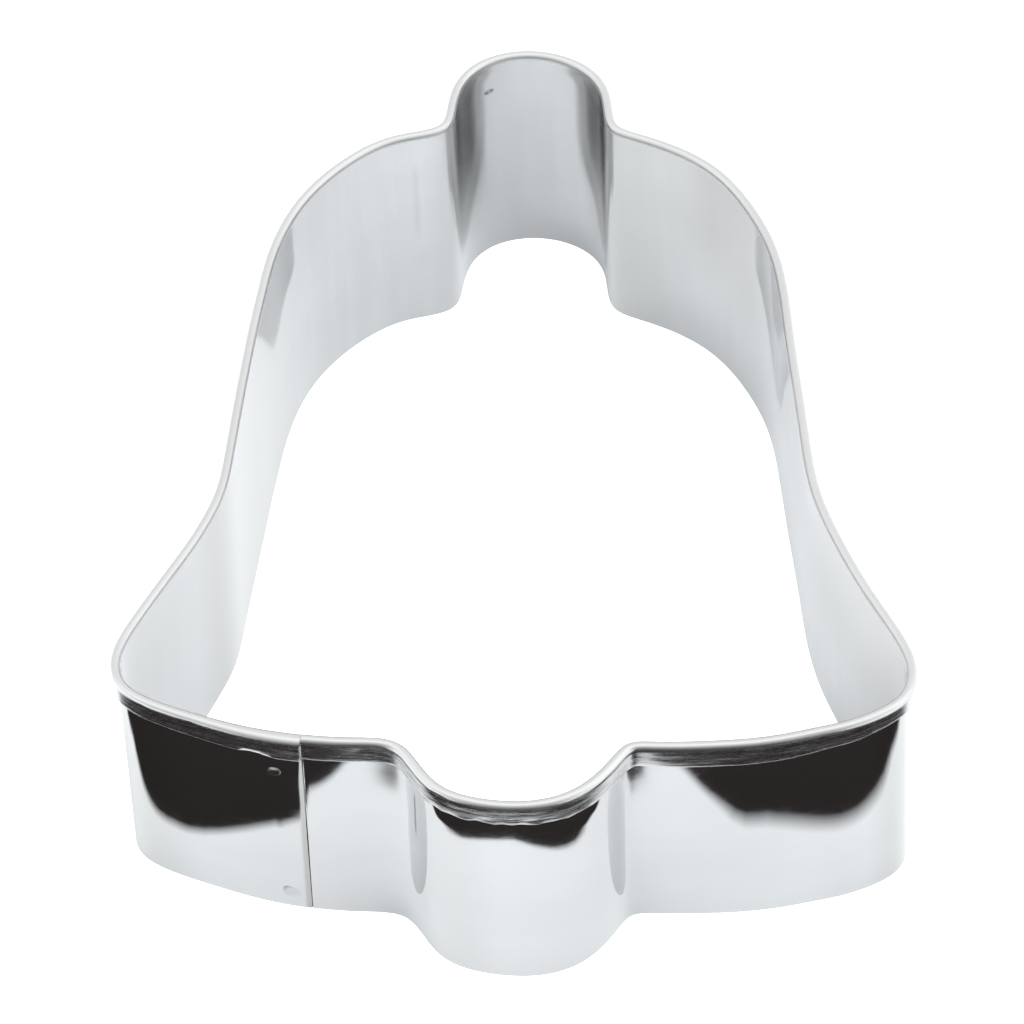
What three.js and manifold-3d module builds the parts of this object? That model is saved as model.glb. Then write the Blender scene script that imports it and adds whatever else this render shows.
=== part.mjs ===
// Bell-shaped cookie cutter: one steel strip with a hemmed upper rim, bent to the
// bell outline and closed by a lap joint with two spot welds.
// Millimetres. +Z is up (hemmed rim on top, cutting edge on z = 0), +Y points to the
// knob at the crown of the bell, -Y to the clapper. The origin is the centre of the
// bounding box on the cutting plane.
import * as THREE from 'three';
import Module from 'manifold-3d';

// ---- driving dimensions ----
const STRIP_HEIGHT = 25.4;   // cutting edge to the top of the rim
const SHEET = 0.3;           // sheet thickness
const FOLD_R = 0.475;        // outside radius of the folded rim
const HEM_DEPTH = 2.4;       // rim top to the lower edge of the folded leaf
const HEM_LIP = 0.1;         // rounding of the leaf's lower outer edge
const SEAM_AT = 220.79;      // along the outline: free edge of the outer flap
const SEAM_SLIT = 0.07;      // half of the slit between the two strip ends
const LAP = 6.0;             // overlap of the two strip ends
const LAP_GAP = 0.05;        // clearance between the lapped layers
const JOGGLE = 0.28;         // length over which the inner end steps in behind the flap
const TONGUE_TOP = 22.4;     // height of the inner end, hem notched away
const EDGE_RELIEF = 0.145;   // bevel on the inside of the flap's free edge
const EDGE_RELIEF_RUN = 0.2;
const HEM_OPEN = 0.28;       // the fold is this much wider at the flap's end
const HEM_OPEN_RUN = 13;
const WELD_R = 0.9;          // spot weld radius
const WELD_GAP = 0.04;       // clearance round the weld nugget
const WELD_DISH = 0.06;      // electrode dimple depth
const UPPER_WELD = [223.3, 19.6];   // along the outline, height
const LOWER_WELD = [222.5, 2.25];
const CHORD_TOL = 0.02;      // allowed sag of the wall facets
const MAX_STEP = 3.2;
// unevenness of the leaf's lower edge: [run from the flap's edge, rise]
const HEM_EDGE = [
  [0, -0.33], [8, -0.03], [15, 0.12], [24, 0], [176, 0], [184, 0.42], [188, 0],
  [193, -0.28], [200, -0.32], [212, -0.12], [224, 0], [240, -0.1],
];

// inner face of the wall at mid-height: control points of a closed uniform cubic
// B-spline, left flare -> knob -> right flare -> clapper -> left flare
const OUTLINE = [
  [-33.13, -27.28], [-33.07, -25.54], [-32.39, -23.61], [-31.32, -21.4], [-30.1, -18.94], [-28.74, -16.4], [-27.4, -13.89], [-26.3, -11.43],
  [-25.41, -9.11], [-24.91, -6.76], [-24.64, -4.14], [-24.32, -1.14], [-23.93, 2.27], [-23.49, 6.01], [-23.01, 9.91], [-22.47, 13.8],
  [-21.89, 17.53], [-20.91, 20.97], [-19.5, 24.02], [-17.59, 26.58], [-15.48, 28.66], [-13.41, 30.18], [-11.47, 31.04], [-9.69, 31.41],
  [-8.21, 31.82], [-7.17, 32.48], [-6.66, 33.53], [-6.5, 34.99], [-6.23, 36.71], [-5.53, 38.42], [-4.15, 39.81], [-2.14, 40.68],
  [0.2, 40.93], [2.53, 40.46], [4.5, 39.44], [5.81, 38.03], [6.44, 36.42], [6.61, 34.8], [6.81, 33.38], [7.32, 32.33],
  [8.35, 31.66], [9.95, 31.07], [11.99, 30.23], [14.23, 29.03], [16.38, 27.37], [18.2, 25.11], [19.77, 22.43], [21.08, 19.53],
  [21.92, 16.44], [22.39, 13.14], [22.75, 9.7], [23.2, 6.18], [23.67, 2.63], [24.14, -0.9], [24.55, -4.45], [25.15, -8.02],
  [26.33, -11.63], [27.87, -15.25], [29.51, -18.68], [31.19, -21.65], [32.52, -24.15], [33.26, -26.22], [33.27, -28], [32.82, -29.42],
  [31.93, -30.42], [30.63, -31.24], [29.07, -32.01], [27.26, -32.63], [25.15, -33.12], [22.74, -33.76], [20, -34.21], [17.04, -34.42],
  [14.24, -34.54], [11.96, -34.52], [10.38, -34.47], [9.33, -34.97], [8.46, -36.25], [7.28, -38.02], [5.47, -39.72], [3.01, -40.79],
  [0.11, -41.03], [-2.76, -40.65], [-5.1, -39.9], [-6.63, -38.62], [-7.67, -36.99], [-8.63, -35.51], [-9.85, -34.61], [-11.62, -34.37],
  [-13.98, -34.4], [-16.83, -34.18], [-19.97, -33.77], [-23.14, -32.98], [-26.19, -31.94], [-28.97, -30.94], [-31.18, -29.91], [-32.59, -28.74],
];
// how far the rim stands outside the cutting edge (hand-bent strip), closed B-spline
// over the same loop
const LEAN = [
  0.18, -0.15, -0.41, -0.53, -0.46, -0.27, -0.11, -0.01, 0.03, -0.01, -0.08, -0.1,
  -0.09, -0.08, -0.03, 0.04, 0.07, 0.03, -0.05, -0.05, 0.01, 0.06, 0.09, 0.08,
  0.01, -0.11, -0.25, -0.34, -0.37, -0.35, -0.29, -0.19, -0.09, -0.01, 0.07, 0.19,
  0.27, 0.2, 0.02, -0.14, -0.18, -0.15, -0.14, -0.11, -0.03, 0.12, 0.33, 0.41,
];

// ---- outline ----
function splineWeights(t) {
  return [
    [(1 - t) ** 3 / 6, (3 * t ** 3 - 6 * t * t + 4) / 6, (-3 * t ** 3 + 3 * t * t + 3 * t + 1) / 6, t ** 3 / 6],
    [-((1 - t) ** 2) / 2, (3 * t * t - 4 * t) / 2, (-3 * t * t + 2 * t + 1) / 2, (t * t) / 2],
    [1 - t, 3 * t - 2, -3 * t + 1, t],
  ];
}
function outlineAt(u) {
  const n = OUTLINE.length;
  const i = Math.floor(u);
  const w = splineWeights(u - i);
  const r = [[0, 0], [0, 0], [0, 0]];
  for (let d = 0; d < 3; d++) {
    for (let k = 0; k < 4; k++) {
      const p = OUTLINE[(((i + k - 1) % n) + n) % n];
      r[d][0] += w[d][k] * p[0];
      r[d][1] += w[d][k] * p[1];
    }
  }
  const speed = Math.hypot(r[1][0], r[1][1]);
  return {
    p: r[0],
    out: [-r[1][1] / speed, r[1][0] / speed],
    bend: Math.abs(r[1][0] * r[2][1] - r[1][1] * r[2][0]) / speed ** 3,
  };
}
function leanAt(u) {
  const n = LEAN.length;
  const v = (u * n) / OUTLINE.length;
  const i = Math.floor(v);
  const w = splineWeights(v - i)[0];
  let r = 0;
  for (let k = 0; k < 4; k++) r += w[k] * LEAN[(((i + k - 1) % n) + n) % n];
  return r;
}
// length along the outline -> spline parameter
const SUB = 40;
const lengthTable = [0];
for (let i = 1, a = outlineAt(0).p; i <= OUTLINE.length * SUB; i++) {
  const b = outlineAt(i / SUB).p;
  lengthTable.push(lengthTable[i - 1] + Math.hypot(b[0] - a[0], b[1] - a[1]));
  a = b;
}
const PERIMETER = lengthTable[lengthTable.length - 1];
function parameterAt(s) {
  const turns = Math.floor(s / PERIMETER);
  const l = s - turns * PERIMETER;
  let lo = 0;
  let hi = lengthTable.length - 1;
  while (hi - lo > 1) {
    const m = (lo + hi) >> 1;
    if (lengthTable[m] <= l) lo = m;
    else hi = m;
  }
  const part = (l - lengthTable[lo]) / (lengthTable[hi] - lengthTable[lo]);
  return turns * OUTLINE.length + (lo + part) / SUB;
}
const smooth = (x) => { const c = Math.min(1, Math.max(0, x)); return c * c * (3 - 2 * c); };
const START = SEAM_AT + SEAM_SLIT;
const END = SEAM_AT + PERIMETER - SEAM_SLIT;
const TONGUE_END = SEAM_AT + PERIMETER + LAP;
// inward step of the strip's inner end, behind the flap
function tongueStep(s) {
  return (SHEET + LAP_GAP) * smooth((s - END) / JOGGLE);
}
function hemEdge(run) {
  let k = 1;
  while (k < HEM_EDGE.length - 1 && run > HEM_EDGE[k][0]) k++;
  const [a, va] = HEM_EDGE[k - 1];
  const [b, vb] = HEM_EDGE[k];
  return va + (vb - va) * smooth((run - a) / (b - a));
}
function wallPoint(s, o, z) {
  const u = parameterAt(s);
  const f = outlineAt(u);
  const d = o + leanAt(u) * (z / STRIP_HEIGHT - 0.5);
  return new THREE.Vector3(f.p[0] + f.out[0] * d, f.p[1] + f.out[1] * d, z);
}
function stations(from, to) {
  const list = [from];
  for (let s = from; ;) {
    const bend = Math.max(outlineAt(parameterAt(s)).bend, outlineAt(parameterAt(s + 0.6)).bend, 1e-4);
    s += Math.min(MAX_STEP, Math.max(0.5, Math.sqrt((8 * CHORD_TOL) / bend)));
    if (s > to - 0.4) break;
    list.push(s);
  }
  list.push(to);
  return list;
}

// ---- cross-section of the hemmed strip: [outward, up] ----
const FOLD_Z = STRIP_HEIGHT - FOLD_R;
const HEM_Z = STRIP_HEIGHT - HEM_DEPTH;
const profile = [[0, 0], [SHEET, 0], [SHEET, TONGUE_TOP], [SHEET, FOLD_Z]];
for (let k = 1; k < 4; k++) {
  const a = Math.PI * (1 - k / 4);
  profile.push([FOLD_R + (FOLD_R - SHEET) * Math.cos(a), FOLD_Z + (FOLD_R - SHEET) * Math.sin(a)]);
}
profile.push([2 * FOLD_R - SHEET, FOLD_Z], [2 * FOLD_R - SHEET, HEM_Z]);
profile.push([2 * FOLD_R - HEM_LIP, HEM_Z], [2 * FOLD_R - 0.29 * HEM_LIP, HEM_Z + 0.29 * HEM_LIP], [2 * FOLD_R, HEM_Z + HEM_LIP]);
for (let k = 0; k <= 8; k++) {
  const a = (Math.PI * k) / 8;
  profile.push([FOLD_R + FOLD_R * Math.cos(a), FOLD_Z + FOLD_R * Math.sin(a)]);
}
profile.push([0, TONGUE_TOP]);
const M = profile.length;
const INNER_ARC = [4, 6];
const LEAF = [7, 11];
const FOLD = [12, 20];
const within = (j, [a, b]) => j >= a && j <= b;
// the cross-section at a given run from the flap's free edge
function sectionAt(run) {
  const open = HEM_OPEN * (1 - smooth(run / HEM_OPEN_RUN));
  const rise = hemEdge(run);
  const relief = EDGE_RELIEF * Math.max(0, 1 - run / EDGE_RELIEF_RUN);
  return profile.map(([o, z], j) => {
    if (j === 0 || j === M - 1) return [o + relief, z];
    if (within(j, INNER_ARC)) return [o + (open * (o - SHEET)) / (2 * FOLD_R - 2 * SHEET), z];
    if (within(j, LEAF)) return [o + open, z < FOLD_Z ? z + rise : z];
    if (within(j, FOLD)) return [o + (open * o) / (2 * FOLD_R), z];
    return [o, z];
  });
}

// ---- strip: swept profile, then the notched tongue of the inner end ----
function stripGeometry() {
  const pos = [];
  const tri = [];
  const quad = (a, b, c, d) => tri.push(a, b, c, a, c, d);
  const put = (v) => pos.push(v.x, v.y, v.z);
  const main = [START, ...stations(START + EDGE_RELIEF_RUN, END)];
  for (const s of main) {
    for (const [o, z] of sectionAt(s - START)) put(wallPoint(s, o, z));
  }
  for (let i = 0; i + 1 < main.length; i++) {
    for (let j = 0; j < M; j++) {
      const k = (j + 1) % M;
      quad(i * M + j, i * M + k, (i + 1) * M + k, (i + 1) * M + j);
    }
  }
  const endShape = (run) => sectionAt(run).map(([o, z]) => new THREE.Vector2(o, z));
  for (const [a, b, c] of THREE.ShapeUtils.triangulateShape(endShape(0), [])) tri.push(a, c, b);
  const last = (main.length - 1) * M;
  const rest = profile.map((_, j) => j).slice(2);
  const farShape = endShape(END - START);
  for (const [a, b, c] of THREE.ShapeUtils.triangulateShape(rest.map((j) => farShape[j]), [])) {
    tri.push(last + rest[a], last + rest[b], last + rest[c]);
  }
  let ring = [last, last + 1, last + 2, last + M - 1];
  const bend = [1, 2, 3].map((k) => END + (JOGGLE * k) / 4);
  for (const s of [...bend, ...stations(END + JOGGLE, TONGUE_END)]) {
    const base = pos.length / 3;
    for (const [o, z] of [profile[0], profile[1], profile[2], profile[M - 1]]) put(wallPoint(s, o - tongueStep(s), z));
    const next = [base, base + 1, base + 2, base + 3];
    for (let j = 0; j < 4; j++) quad(ring[j], ring[(j + 1) % 4], next[(j + 1) % 4], next[j]);
    ring = next;
  }
  quad(ring[0], ring[1], ring[2], ring[3]);
  return orient(pos, tri);
}

// turns the faces outward and returns an indexed geometry
function orient(pos, tri) {
  let v6 = 0;
  const a = new THREE.Vector3();
  const b = new THREE.Vector3();
  const c = new THREE.Vector3();
  for (let i = 0; i < tri.length; i += 3) {
    a.fromArray(pos, tri[i] * 3);
    b.fromArray(pos, tri[i + 1] * 3);
    c.fromArray(pos, tri[i + 2] * 3);
    v6 += a.dot(b.cross(c));
  }
  if (v6 < 0) for (let i = 0; i < tri.length; i += 3) [tri[i + 1], tri[i + 2]] = [tri[i + 2], tri[i + 1]];
  const g = new THREE.BufferGeometry();
  g.setAttribute('position', new THREE.Float32BufferAttribute(pos, 3));
  g.setIndex(tri);
  return g;
}

// solid of revolution about the local wall normal: [radius, outward] from axis to axis
function turned(spot, rings, segments) {
  const [s, z] = spot;
  const u = parameterAt(s);
  const f = outlineAt(u);
  const n = new THREE.Vector3(f.out[0], f.out[1], 0);
  const side = new THREE.Vector3(-f.out[1], f.out[0], 0);
  const up = new THREE.Vector3(0, 0, 1);
  const foot = wallPoint(s, -(SHEET + LAP_GAP), z);
  const pos = [];
  const tri = [];
  const ends = [rings[0][1], rings[rings.length - 1][1]];
  const inner = rings.slice(1, -1);
  for (const [r, o] of inner) {
    for (let k = 0; k < segments; k++) {
      const a = (2 * Math.PI * k) / segments;
      const v = foot.clone().addScaledVector(n, o).addScaledVector(side, r * Math.cos(a)).addScaledVector(up, r * Math.sin(a));
      pos.push(v.x, v.y, v.z);
    }
  }
  const tips = ends.map((o) => {
    const v = foot.clone().addScaledVector(n, o);
    pos.push(v.x, v.y, v.z);
    return pos.length / 3 - 1;
  });
  for (let k = 0; k < segments; k++) {
    const m = (k + 1) % segments;
    tri.push(tips[0], m, k);
    for (let i = 0; i + 1 < inner.length; i++) {
      const a = i * segments;
      const b = a + segments;
      tri.push(a + k, a + m, b + m, a + k, b + m, b + k);
    }
    const e = (inner.length - 1) * segments;
    tri.push(tips[1], e + k, e + m);
  }
  return orient(pos, tri);
}
const STACK = 2 * SHEET + LAP_GAP;
const nugget = (spot) => turned(spot, [
  [0, WELD_DISH], [0.62 * WELD_R, WELD_DISH * 0.75], [WELD_R, 0.01],
  [WELD_R, STACK - 0.01], [0.62 * WELD_R, STACK - WELD_DISH * 0.75], [0, STACK - WELD_DISH],
], 20);
const bore = (spot) => turned(spot, [
  [0, -0.4], [WELD_R + WELD_GAP, -0.4], [WELD_R + WELD_GAP, STACK + 0.4], [0, STACK + 0.4],
], 20);

// ---- cut the weld spots out of the lapped layers ----
const wasm = await Module();
wasm.setup();
const solid = (g) => new wasm.Manifold(new wasm.Mesh({
  numProp: 3,
  vertProperties: new Float32Array(g.getAttribute('position').array),
  triVerts: new Uint32Array(g.getIndex().array),
}));
const cut = solid(stripGeometry()).subtract(solid(bore(UPPER_WELD))).subtract(solid(bore(LOWER_WELD))).getMesh();
const stripCut = new THREE.BufferGeometry();
stripCut.setAttribute('position', new THREE.Float32BufferAttribute(cut.vertProperties, 3));
stripCut.setIndex(Array.from(cut.triVerts));

// ---- assembly ----
const steel = new THREE.MeshStandardMaterial({ color: 0xc8cacc, roughness: 0.14, metalness: 1 });
const weldSteel = new THREE.MeshStandardMaterial({ color: 0xb3b1ad, roughness: 0.3, metalness: 1 });
const group = new THREE.Group();
group.name = 'bell_cookie_cutter';
function add(name, geometry, material) {
  geometry.computeVertexNormals();
  const mesh = new THREE.Mesh(geometry, material.clone());
  mesh.name = name;
  group.add(mesh);
}
add('bell_strip', stripCut, steel);
add('upper_spot_weld', nugget(UPPER_WELD), weldSteel);
add('lower_spot_weld', nugget(LOWER_WELD), weldSteel);

export default group;
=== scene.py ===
"""Bell cookie cutter: bent steel strip with hemmed rim and a spot-welded lap seam."""
import math
import bmesh
import bpy
import numpy as np
from mathutils import Matrix, Vector
from mathutils.geometry import tessellate_polygon


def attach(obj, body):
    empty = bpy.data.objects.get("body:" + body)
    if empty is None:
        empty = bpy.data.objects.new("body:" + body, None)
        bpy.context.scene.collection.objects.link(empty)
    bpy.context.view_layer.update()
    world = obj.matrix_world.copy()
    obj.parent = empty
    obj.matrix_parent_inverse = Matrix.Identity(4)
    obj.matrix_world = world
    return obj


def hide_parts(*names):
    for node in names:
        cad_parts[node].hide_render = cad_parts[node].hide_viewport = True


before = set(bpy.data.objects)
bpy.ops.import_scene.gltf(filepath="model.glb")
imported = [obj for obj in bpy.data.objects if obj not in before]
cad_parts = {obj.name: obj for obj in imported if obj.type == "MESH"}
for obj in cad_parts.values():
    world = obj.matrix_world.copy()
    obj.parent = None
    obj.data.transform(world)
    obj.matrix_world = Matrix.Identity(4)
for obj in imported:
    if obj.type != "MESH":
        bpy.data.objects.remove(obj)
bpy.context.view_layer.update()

MM = 0.001

# ---------------------------------------------------------------- dimensions, mm
H = 25.4            # strip height
T = 0.30            # sheet
R = 0.475           # fold radius, outside
HEM = 2.4           # hem depth
FOLD_LOW = 0.16     # the outside of the fold runs out into the leaf over this length
LIP = 0.10          # rounding of the leaf's lower edge
BEV = 0.04          # softening of the sheared edges
SEAM = 220.79       # free edge of the flap, along the outline
SLIT = 0.07
LAP = 6.0
GAP = 0.05
JOGGLE = 0.28       # the inner end steps in behind the flap over this length
TONGUE_TOP = 22.4
RELIEF, RELIEF_RUN = 0.145, 0.2     # bevel on the inside of the flap's free edge
HEM_OPEN, HEM_OPEN_RUN = 0.28, 13   # the fold is wider at the flap's end
HEM_EDGE = np.array([               # run from the flap's edge, rise of the leaf's lower edge
    (0, -0.33), (8, -0.03), (15, 0.12), (24, 0), (176, 0), (184, 0.42), (188, 0),
    (193, -0.28), (200, -0.32), (212, -0.12), (224, 0), (240, -0.1),
])
BOW = 0.22          # barrel shape of the clapper's wall
DRAGGED = [         # wall pulled in under the rim at the tight bends: run, width before and after, power, start height, depth
    (231.2, 1.1, 1.1, 2, 17.2, 0.09), (205.7, 1.25, 1.2, 4, 19.6, 0.50), (211.5, 1.3, 2.0, 2, 19.7, 0.55), (224.3, 2.0, 1.3, 2, 20.3, 0.30),
]
NICKS = [           # small knocks where the leaf leaves the fold: run, height, length, depth
    (14.8, 24.8, 0.8, 0.030), (13.6, 24.7, 0.7, 0.040), (9.3, 24.7, 0.7, 0.035), (5.9, 24.5, 0.9, 0.025), (3.0, 24.4, 0.8, 0.030),
    (188.7, 23.8, 0.7, 0.035), (193.5, 24.3, 0.9, 0.030), (216.6, 23.5, 0.6, 0.045), (220.2, 23.4, 0.6, 0.050), (224.0, 24.7, 0.6, 0.070), (233.6, 24.3, 0.5, 0.030),
]
WELDS = {"upper_spot_weld": (223.3, 19.6), "lower_spot_weld": (222.5, 2.25)}
WELD_R = {"upper_spot_weld": 0.56, "lower_spot_weld": 0.90}
DISH = {"upper_spot_weld": 0.050, "lower_spot_weld": 0.020}

OUTLINE = np.array([
    (-33.13, -27.28), (-33.07, -25.54), (-32.39, -23.61), (-31.32, -21.4), (-30.1, -18.94), (-28.74, -16.4), (-27.4, -13.89), (-26.3, -11.43),
    (-25.41, -9.11), (-24.91, -6.76), (-24.64, -4.14), (-24.32, -1.14), (-23.93, 2.27), (-23.49, 6.01), (-23.01, 9.91), (-22.47, 13.8),
    (-21.89, 17.53), (-20.91, 20.97), (-19.5, 24.02), (-17.59, 26.58), (-15.48, 28.66), (-13.41, 30.18), (-11.47, 31.04), (-9.69, 31.41),
    (-8.21, 31.82), (-7.17, 32.48), (-6.66, 33.53), (-6.5, 34.99), (-6.23, 36.71), (-5.53, 38.42), (-4.15, 39.81), (-2.14, 40.68),
    (0.2, 40.93), (2.53, 40.46), (4.5, 39.44), (5.81, 38.03), (6.44, 36.42), (6.61, 34.8), (6.81, 33.38), (7.32, 32.33),
    (8.35, 31.66), (9.95, 31.07), (11.99, 30.23), (14.23, 29.03), (16.38, 27.37), (18.2, 25.11), (19.77, 22.43), (21.08, 19.53),
    (21.92, 16.44), (22.39, 13.14), (22.75, 9.7), (23.2, 6.18), (23.67, 2.63), (24.14, -0.9), (24.55, -4.45), (25.15, -8.02),
    (26.33, -11.63), (27.87, -15.25), (29.51, -18.68), (31.19, -21.65), (32.52, -24.15), (33.26, -26.22), (33.27, -28), (32.82, -29.42),
    (31.93, -30.42), (30.63, -31.24), (29.07, -32.01), (27.26, -32.63), (25.15, -33.12), (22.74, -33.76), (20, -34.21), (17.04, -34.42),
    (14.24, -34.54), (11.96, -34.52), (10.38, -34.47), (9.33, -34.97), (8.46, -36.25), (7.28, -38.02), (5.47, -39.72), (3.01, -40.79),
    (0.11, -41.03), (-2.76, -40.65), (-5.1, -39.9), (-6.63, -38.62), (-7.67, -36.99), (-8.63, -35.51), (-9.85, -34.61), (-11.62, -34.37),
    (-13.98, -34.4), (-16.83, -34.18), (-19.97, -33.77), (-23.14, -32.98), (-26.19, -31.94), (-28.97, -30.94), (-31.18, -29.91), (-32.59, -28.74),
])
LEAN = np.array([
    0.18, -0.15, -0.41, -0.53, -0.46, -0.27, -0.11, -0.01, 0.03, -0.01, -0.08, -0.1,
    -0.09, -0.08, -0.03, 0.04, 0.07, 0.03, -0.05, -0.05, 0.01, 0.06, 0.09, 0.08,
    0.01, -0.11, -0.25, -0.34, -0.37, -0.35, -0.29, -0.19, -0.09, -0.01, 0.07, 0.19,
    0.27, 0.2, 0.02, -0.14, -0.18, -0.15, -0.14, -0.11, -0.03, 0.12, 0.33, 0.41,
])


# ---------------------------------------------------------------- outline
def basis(u, n):
    i = np.floor(u).astype(int)
    t = u - i
    w = (
        ((1 - t) ** 3 / 6, (3 * t**3 - 6 * t * t + 4) / 6, (-3 * t**3 + 3 * t * t + 3 * t + 1) / 6, t**3 / 6),
        (-((1 - t) ** 2) / 2, (3 * t * t - 4 * t) / 2, (-3 * t * t + 2 * t + 1) / 2, t * t / 2),
        (1 - t, 3 * t - 2, -3 * t + 1, t),
    )
    idx = [(i + k - 1) % n for k in range(4)]
    return idx, w


def outline_at(u):
    idx, w = basis(u, len(OUTLINE))
    p, d1, d2 = [sum(w[d][k][:, None] * OUTLINE[idx[k]] for k in range(4)) for d in range(3)]
    speed = np.linalg.norm(d1, axis=1)
    out = np.stack([-d1[:, 1], d1[:, 0]], 1) / speed[:, None]
    bend = np.abs(d1[:, 0] * d2[:, 1] - d1[:, 1] * d2[:, 0]) / speed**3
    return p, out, bend


def lean_at(u):
    idx, w = basis(u * len(LEAN) / len(OUTLINE), len(LEAN))
    return sum(w[0][k] * LEAN[idx[k]] for k in range(4))


SUB = 60
_u = np.arange(len(OUTLINE) * SUB + 1) / SUB
_p = outline_at(_u)[0]
_len = np.concatenate([[0], np.cumsum(np.linalg.norm(np.diff(_p, axis=0), axis=1))])
PERIM = _len[-1]


def parameter(s):
    s = np.asarray(s, float)
    turn = np.floor(s / PERIM)
    return turn * len(OUTLINE) + np.interp(s - turn * PERIM, _len, _u)


def smooth(x):
    c = np.clip(x, 0, 1)
    return c * c * (3 - 2 * c)


START, END, TONGUE_END = SEAM + SLIT, SEAM + PERIM - SLIT, SEAM + PERIM + LAP


def tongue_step(s):
    """Inward step of the strip's inner end, behind the flap."""
    return (T + GAP) * smooth((s - END) / JOGGLE)


def forced(run):
    """How hard the hem was worked round the clapper."""
    return float(smooth((run - 203) / 6) * (1 - smooth((run - 226) / 6)))


def rough_edge(run):
    a = 2 * math.pi * run
    j = math.sin(a / 2.9 + 0.4) + 0.8 * math.sin(a / 1.7 + 2.0 + math.sin(a / 9)) + 0.6 * math.sin(a / 1.13 + 4.1)
    return j * (0.012 + 0.030 * forced(run))


def hem_edge(run):
    k = int(np.clip(np.searchsorted(HEM_EDGE[:, 0], run), 1, len(HEM_EDGE) - 1))
    (x0, y0), (x1, y1) = HEM_EDGE[k - 1], HEM_EDGE[k]
    return y0 + (y1 - y0) * float(smooth((run - x0) / (x1 - x0))) + rough_edge(run)


def wave(s, z):
    """Unevenness of the bent sheet, mm outward."""
    w = 2 * math.pi * s / PERIM
    a = 0.010 * np.sin(11 * w + 0.09 * z + 0.4) + 0.008 * np.sin(17 * w - 0.13 * z + 2.1)
    b = 0.006 * np.sin(29 * w + 0.21 * z + 1.3) * np.sin(0.12 * z + 0.8)
    run = s - START
    bow = BOW * smooth((run - 205.5) / 4.5) * (1 - smooth((run - 224.5) / 4.5)) * np.sin(math.pi * z / H)
    return a + b + bow


def wall(s, o, z):
    """Points in metres; s, o and z are arrays of one shape, in mm."""
    s, o, z = np.broadcast_arrays(np.asarray(s, float), np.asarray(o, float), np.asarray(z, float))
    u = parameter(s.ravel())
    p, out, _ = outline_at(u)
    d = o.ravel() + lean_at(u) * (z.ravel() / H - 0.5) + wave(s.ravel(), z.ravel())
    xy = p + out * d[:, None]
    return (np.concatenate([xy, z.reshape(-1, 1)], 1) * MM).reshape(s.shape + (3,))


# ---------------------------------------------------------------- stations along the strip
def stations(a, b, turn=math.radians(4.5), longest=0.8):
    fine = np.arange(a, b, 0.02)
    bend = outline_at(parameter(fine))[2]
    step = np.clip(turn / np.maximum(bend, 1e-4), 0.12, longest)
    for s, _ in WELDS.values():
        near = np.minimum(np.abs(fine - s), np.abs(fine - s - PERIM))
        step = np.where(near < 1.15, np.minimum(step, 0.11), step)
    for at, *_ in NICKS:
        step = np.where(np.abs(fine - START - at) < 0.9, np.minimum(step, 0.14), step)
    step = np.where((fine - START < 12) | (fine - START > 203), np.minimum(step, 0.32), step)
    grow = np.concatenate([[0], np.cumsum(0.02 / step[:-1])])
    n = max(2, int(round(grow[-1])) + 1)
    return np.concatenate([np.interp(np.linspace(0, grow[-1], n)[:-1], grow, fine), [b]])


EDGE, EDGE_DROP = 0.50, 0.12        # rounded vertical edge of the flap
main = stations(START + EDGE, END - 0.06)
main = np.concatenate([START + np.array([0, 0.012, 0.04, 0.08, 0.13, 0.19, 0.25, 0.32, 0.41]), main, END - np.array([0.03, 0.01, 0])])
tongue = np.concatenate([END + JOGGLE * np.array([0.125, 0.25, 0.375, 0.5, 0.625, 0.75, 0.875, 1.0]), np.linspace(END + JOGGLE, TONGUE_END - 0.1, 40)[1:], [TONGUE_END - 0.03, TONGUE_END]])


def edge_drop(run):
    x = np.clip((EDGE - run) / EDGE, 0, 1)
    y = np.clip((0.06 - (END - START - run)) / 0.06, 0, 1)
    return EDGE_DROP * (1 - np.sqrt(1 - x * x)) + 0.035 * (1 - np.sqrt(1 - y * y))


# ---------------------------------------------------------------- cross-section (o, z, kind)
FZ = H - R
HZ = H - HEM
prof = []           # kind: 0 inner wall, 1 cutting edge, 2 outer wall, 3 hidden in the hem, 4 leaf, 5 fold


def arc(cx, cz, r, a0, a1, n, kind, ends=(True, True)):
    for k in range(n + 1):
        if (k == 0 and not ends[0]) or (k == n and not ends[1]):
            continue
        a = math.radians(a0 + (a1 - a0) * k / n)
        prof.append((cx + r * math.cos(a), cz + r * math.sin(a), kind))


arc(BEV, BEV, BEV, 180, 270, 3, 1)
arc(T - BEV, BEV, BEV, 270, 360, 3, 1)
weld_lines = [round(z + d, 3) for _, z in WELDS.values() for d in np.arange(-1.12, 1.13, 0.14)]
outer_z = sorted(set([0.12, 0.35, 0.75] + weld_lines + [4.3, 5.6, 7.0, 8.6, 10.2, 11.8, 13.4, 15.0, 16.5, 17.7, 21.4, TONGUE_TOP, 22.8, 23.2]))
prof += [(T, z, 2) for z in outer_z]
prof.append((T, 24.2, 3))
arc(R, FZ, R - T, 180, 0, 4, 3)
prof += [(2 * R - T, 24.2, 3), (2 * R - T, HZ + 0.05, 3)]
prof += [(2 * R - T + 0.02, HZ + 0.012, 4), (2 * R - T + 0.07, HZ, 4)]
arc(2 * R - LIP, HZ + LIP, LIP, 270, 360, 5, 4)
prof += [(2 * R, z, 4) for z in np.linspace(HZ + LIP, FZ - FOLD_LOW, 11)[1:-1]]
for k in range(12):
    a = math.radians(90 * k / 11)
    prof.append((R + R * math.cos(a), FZ - FOLD_LOW + (R + FOLD_LOW) * math.sin(a), 5))
arc(R, FZ, R, 90, 180, 7, 5, (False, True))
inner_z = [24.7, 24.4, 24.0, 23.5, 23.0, TONGUE_TOP, 21.6, 20.4, 18.6, 16.6, 14.6, 12.6, 10.6, 8.6, 6.6, 4.6, 2.8, 1.4, 0.6, 0.15]
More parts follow.
